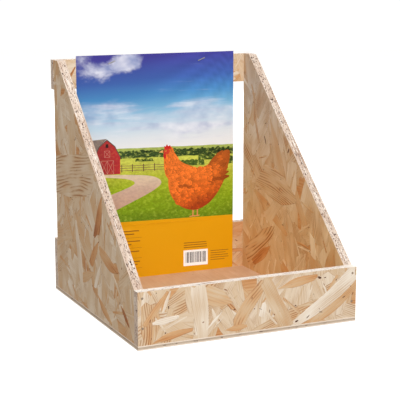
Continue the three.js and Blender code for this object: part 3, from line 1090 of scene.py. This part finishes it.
def paint_hen(picture, rng):
    """A brown hen that faces left: a full breast, a curved neck, a fanned tail and a folded wing."""
    for x in (175, 182):
        picture.add(bar(x, 104, x - 0.6, 87, 2.0), (214, 140, 84))
        picture.add(bar(x - 6, 86.3, x + 3, 87.3, 1.6), (214, 140, 84))

    def plumage(places):
        """Bright along the back and breast, and dark red-brown below and in the tail."""
        x, y = places[..., 0], places[..., 1]
        height = np.clip((y - 98) / 44 + (168 - x) / 150, 0, 1)
        inks = blend_inks(height, ((0, 158, 60, 20), (0.4, 208, 98, 31), (1, 222, 112, 40)))
        return inks * (1 - 0.5 * np.clip((x - 196) / 36, 0, 1))[..., None]

    body = smooth((
        (136, 148), (137, 127), (146, 110), (161, 99), (180, 96), (199, 104), (215, 121), (226, 143),
        (222, 157), (202, 155), (184, 153), (160, 164), (142, 162)))
    neck = smooth((
        (135, 144), (129, 170), (131, 189), (142, 189), (148, 176), (159, 166), (179, 158), (194, 148),
        (168, 136)))
    tail = smooth(((176, 154), (197, 161), (218, 178), (233, 181), (231, 160), (217, 134), (182, 140)))
    parts = (tail, body, neck)
    for part in parts:
        picture.add(part, plumage, (0.0, 0.0, 0.5))

    half_vane = ((0.35, 0.45), (0.75, 0.5), (1, 0.14))
    vane = np.array(((0, 0), *half_vane, *((x, -y) for x, y in half_vane[::-1])))

    def feather(root, degrees, long, thin, glow, tip=0.65):
        """A rounded vane, darker at its root."""
        root, turn = np.array(root), math.radians(degrees)
        axis = np.array((math.cos(turn), math.sin(turn)))

        def shade(places):
            share = np.clip(((places - root) @ axis) / long, 0, 1)
            return plumage(places) * (glow * (0.68 + tip * share))[..., None]

        picture.add(turned(vane * (long, thin), root, turn), shade, (0.0, 0.0, 0.9))

    # Tail feathers, then short ones over the whole hen, those nearest the tail first
    for step in range(7):
        feather((195, 138 + step * 2.8), 8 + 6 * step, 38, 8, 0.66 + 0.1 * (step % 3), 0.5)
    long = 9.0
    roots = []
    while len(roots) < 300:
        x, y = rng.uniform(126, 214), rng.uniform(98, 190)
        on_neck = y > 158 and x < 160
        slope = -62 + (x - 140) * 1.1 if on_neck else -38 + (y - 110) * 0.55 + (x - 150) * 0.12
        turn = math.radians(slope) + rng.gauss(0, 0.12)
        ends = np.array(((x, y), (x + long * math.cos(turn), y + long * math.sin(turn))))
        if any(is_inside(ends, part).all() for part in parts):
            roots.append((x, y, math.degrees(turn)))
    for x, y, slope in sorted(roots, key=lambda root: 0.35 * root[1] - root[0]):
        feather((x, y), slope, long, 2.6 if y > 158 else 5.0, rng.uniform(0.74, 1.2))
    # The wing: shade along its lower edge, long quills at its rear, then rows of coverts over its front
    for step in range(12):
        root = (150 + step * 4.4, 132.5 + 0.05 * (step - 3) ** 2 + rng.uniform(-0.7, 0.7))
        feather(root, rng.gauss(-6, 8), rng.uniform(9, 12), 6.0, rng.uniform(0.56, 0.72))
    for step in range(7):
        feather((162, 136 + step * 2.2), -10 + 4 * step, 44 - step * 2, 6.5, 0.8 + 0.14 * (step % 2))
    for row in range(4):
        for step in range(5):
            root = (170 - 7 * row + rng.uniform(-2, 3), 137 + step * 4.2 + rng.uniform(-2, 1))
            slope = rng.gauss(-14 + 9 * step, 7)
            feather(root, slope, rng.uniform(10, 14), 6.5, rng.uniform(0.88, 1.14))
    red = (196, 34, 30)
    comb = ((130, 187), (129.5, 191.5), (132, 190.5), (134, 194), (136, 191), (139, 192.5), (141, 187))
    picture.add(comb, red, (0.0, 0.0, 0.4))
    picture.add(oval(133.5, 183.5, 10, 8.5, 0.1), (198, 58, 40), (0.0, 0.0, 0.5))
    picture.add(oval(130.5, 177, 4.2, 8.0, 0.15), red, (0.0, 0.0, 0.4))
    picture.add(((127.5, 186), (121.5, 182.8), (127.5, 181.8)), (226, 176, 104))
    picture.add(oval(132.0, 184.5, 2.6, 2.4), (236, 150, 60))
    picture.add(oval(131.9, 184.5, 1.4, 1.4), (20, 12, 10))


def paint_band(picture, rng, wide):
    """The amber foot of the card: plain rules where words would be, and a white label with bars."""
    picture.add(rectangle(-2, -6, wide + 2, 85), lambda places: blend_inks(places[..., 1], (
        (0, 216, 151, 4), (84, 222, 158, 8))))
    dark = (150, 100, 24)
    for row in range(4):
        y = 70 - 15 * row
        for line, reach in ((0, rng.uniform(70, 78)), (1, rng.uniform(56, 70))):
            picture.add(rectangle(18, y - 4.5 * line, 18 + reach, y + 1.6 - 4.5 * line), dark)
        picture.add(rectangle(18, y - 9.2, 94, y - 8.8), dark)
    for row in range(3):
        picture.add(rectangle(160, 46.5 - 3.4 * row, 160 + rng.uniform(36, 42), 47.7 - 3.4 * row), dark)
    for row in range(5):
        picture.add(rectangle(203, 32 - 3.4 * row, 203 + rng.uniform(18, 30), 33.0 - 3.4 * row), dark)
    picture.add(rectangle(159.5, 12.5, 198.5, 36), (246, 246, 244))
    x = 163.0
    while x < 194.5:
        thick = rng.choice((0.5, 0.5, 0.9, 1.4))
        picture.add(rectangle(x, 17, x + thick, 33), (28, 28, 34))
        x += thick + rng.choice((0.6, 0.9, 1.3))


# The print runs a little downhill: its fall for each millimetre to the right
CARD_SLANT = 0.0213
# The card's bow in millimetres, the share of its height that is free to bow, and the share of the
# bow that the middle of its width keeps
BOW = 1.0
FREE_HEIGHT = 0.86
MIDDLE_SHARE = 0.35


def bow(piece, board):
    """Bends the card gently forwards between the rail and the lower board, more at its free sides."""
    low, high = board.outline.min(0), board.outline.max(0)
    for vertex in piece.data.vertices:
        x = (vertex.co.x / MM - low[0]) / (high[0] - low[0])
        z = (vertex.co.z / MM - low[1]) / (high[1] - low[1])
        free = max(0.0, math.sin(math.pi * min(z / FREE_HEIGHT, 1.0)))
        side = MIDDLE_SHARE + (1 - MIDDLE_SHARE) * (2 * x - 1) ** 2
        vertex.co.y -= BOW * MM * free ** 1.5 * side
    piece.data.polygons.foreach_set("use_smooth", [True] * len(piece.data.polygons))
    piece.data.set_sharp_from_angle(angle=math.radians(40))


def printed_card(node):
    """The card that shows how the box is used: a farm scene over a plain amber band."""
    rng = random.Random(97)
    board = Board(node, 1)
    low, high = board.outline.min(0), board.outline.max(0)
    wide, tall = high - low
    picture = Picture(low, CARD_SLANT)
    paint_sky(picture, wide, tall)
    paint_land(picture, rng, wide)
    paint_barn(picture)
    paint_hen(picture, rng)
    paint_band(picture, rng, wide)
    pitch = 7.0
    grid = [(x, y) for x in np.arange(low[0] + pitch, high[0] - 2, pitch)
            for y in np.arange(low[1] + pitch, high[1] - 2, pitch)]
    piece = board.build(
        node + "_sheet", [], picture.layers, lambda *_: [], (card_print, card_back), top=0.0, step=pitch,
        cut=PrintedCutUp, grid=grid)
    bow(piece, board)


printed_card("printed_card")

for name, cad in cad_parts.items():
    for part, steel in (("nail", nail_steel), ("staple", staple_steel)):
        if part in name:
            for slot in cad.material_slots:
                slot.material = steel


# ---------------------------------------------------------------- stage, light and camera

# The floor lies this far under the box, so that the two never share a plane
FLOOR_GAP = 0.0003
# How far the floor and the backdrop reach
REACH = 5.0
LAMP_COLOUR = (0.96, 0.98, 1.0)
LAMP_AIM = Vector((0, 0, 0.12))
WORLD_COLOUR = (1.0, 0.93, 0.85, 1)
WORLD_STRENGTH = 0.47
# The camera's angles in degrees, its distance and target in metres, and its lens in millimetres
AZIMUTH, ELEVATION = -24.65, 11.07
DISTANCE = 1.627
TARGET = Vector((0.0049, 0.006, 0.1408))
LENS = 110.0


def stage_material(name, grey, emission):
    """A dull surface that also shines by itself, so that it looks white."""
    g = Graph(name)
    g.surface(Base_Color=(grey, grey, grey, 1), Roughness=1.0, Specular_IOR_Level=0.0)
    g.surface(Emission_Color=(1, 1, 1, 1), Emission_Strength=emission)
    return g.material


def stage_item(name, points, faces, material):
    """Part of the stage. Only the camera sees it, so it adds no light."""
    mesh = bpy.data.meshes.new(name)
    mesh.from_pydata(points, [], faces)
    mesh.materials.append(material)
    item = new_object(name, mesh)
    item.visible_diffuse = False
    item.visible_glossy = False


def lamp(name, place, size, power):
    """A round lamp that faces the box. Place is in metres and power in watts."""
    light = bpy.data.lights.new(name, "AREA")
    light.shape = "DISK"
    light.size = size
    light.energy = power
    light.color = LAMP_COLOUR
    item = new_object(name, light)
    item.location = place
    item.rotation_euler = (LAMP_AIM - Vector(place)).to_track_quat("-Z", "Y").to_euler()


def studio():
    """A white floor and backdrop, soft light from all round and three large lamps."""
    corners = [(x, y, -FLOOR_GAP) for x, y in rectangle(-REACH, -REACH, REACH, REACH)]
    stage_item("stage_floor", corners, [(0, 1, 2, 3)], stage_material("stage_white", 0.5, 0.78))
    # The backdrop is a tall drum round the floor
    count = 48
    turns = np.linspace(0, math.tau, count, endpoint=False)
    points = [(REACH * math.cos(a), REACH * math.sin(a), z) for z in (-0.5, 5.0) for a in turns]
    walls = [(i, (i + 1) % count, (i + 1) % count + count, i + count) for i in range(count)]
    stage_item("stage_drum", points, walls, stage_material("stage_backdrop", 0.0, 1.05))

    world = bpy.data.worlds.new("studio")
    world.use_nodes = True
    sky = world.node_tree.nodes["Background"].inputs
    sky["Color"].default_value = WORLD_COLOUR
    sky["Strength"].default_value = WORLD_STRENGTH
    bpy.context.scene.world = world

    lamp("key", (-0.75, -2.3, 1.5), 1.6, 66)
    lamp("top", (0.1, -0.2, 2.3), 1.4, 19)
    lamp("back", (1.2, 2.1, 1.1), 1.6, 46)


def camera():
    """The camera stands to the left of the front, a little above, with a long lens."""
    azimuth, elevation = math.radians(AZIMUTH), math.radians(ELEVATION)
    level = math.cos(elevation)
    back = Vector((math.sin(azimuth) * level, -math.cos(azimuth) * level, math.sin(elevation)))
    data = bpy.data.cameras.new("camera")
    data.sensor_width = 36
    data.lens = LENS
    data.clip_end = 50
    item = new_object("camera", data)
    item.location = TARGET + back * DISTANCE
    item.rotation_euler = (-back).to_track_quat("-Z", "Y").to_euler()
    bpy.context.scene.camera = item


studio()
camera()
bpy.context.scene.view_settings.view_transform = "Standard"
